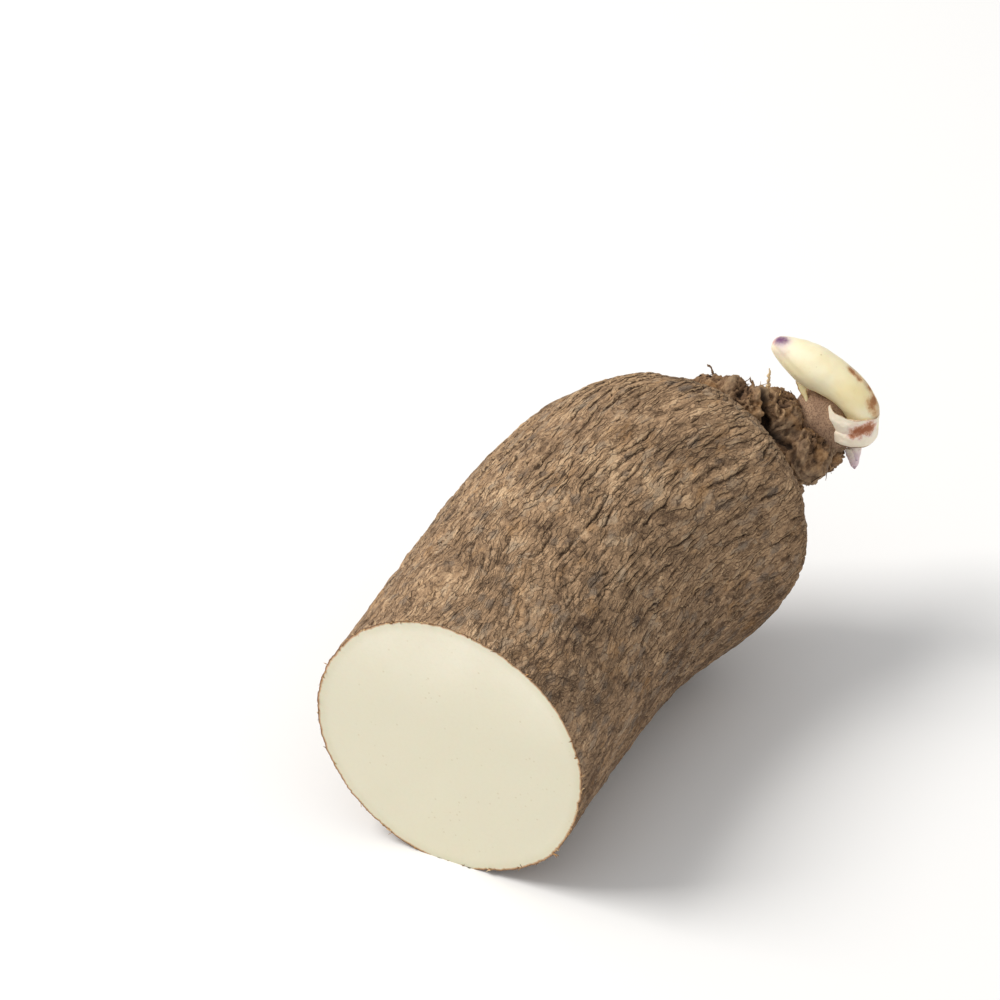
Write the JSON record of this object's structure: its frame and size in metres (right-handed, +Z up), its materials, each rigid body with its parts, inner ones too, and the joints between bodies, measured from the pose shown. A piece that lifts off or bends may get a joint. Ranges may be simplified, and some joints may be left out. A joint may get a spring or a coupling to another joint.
{
  "type": "cut yam tuber",
  "caption": "Crown end of a thick barked yam tuber, cut square across and lying on its side, with a woody crown and a pale shoot.",
  "frame": {"origin": "middle of the flat strip on the underside that the tuber rests on", "axes": "+Z up; the cut face looks along -Y; the crown and the shoot are at +Y; +X is to the right seen from the cut face"},
  "size_m": [0.1253, 0.196, 0.1112],
  "materials": {
    "bark": "dry cracked bark, with moist cream flesh on the cut face",
    "crown_wood": "rough flaky wood",
    "sheath": "matte, finely stippled",
    "shoot": "smooth waxy plant tissue",
    "torn_tissue": "smooth moist torn plant tissue",
    "dry_root": "dry and fibrous"
  },
  "bodies": {
    "root": {"tuber": "bark", "crown": "crown_wood", "bud_swelling": "sheath", "shoot": "shoot", "shoot_collar": "torn_tissue", "side_bud": "torn_tissue", "torn_scale": "shoot", "vine_stub": "dry_root", "rootlet_1": "dry_root", "rootlet_2": "dry_root", "rootlet_3": "dry_root", "rootlet_4": "dry_root", "rootlet_5": "dry_root", "rootlet_6": "dry_root"}
  },
  "joints": []
}
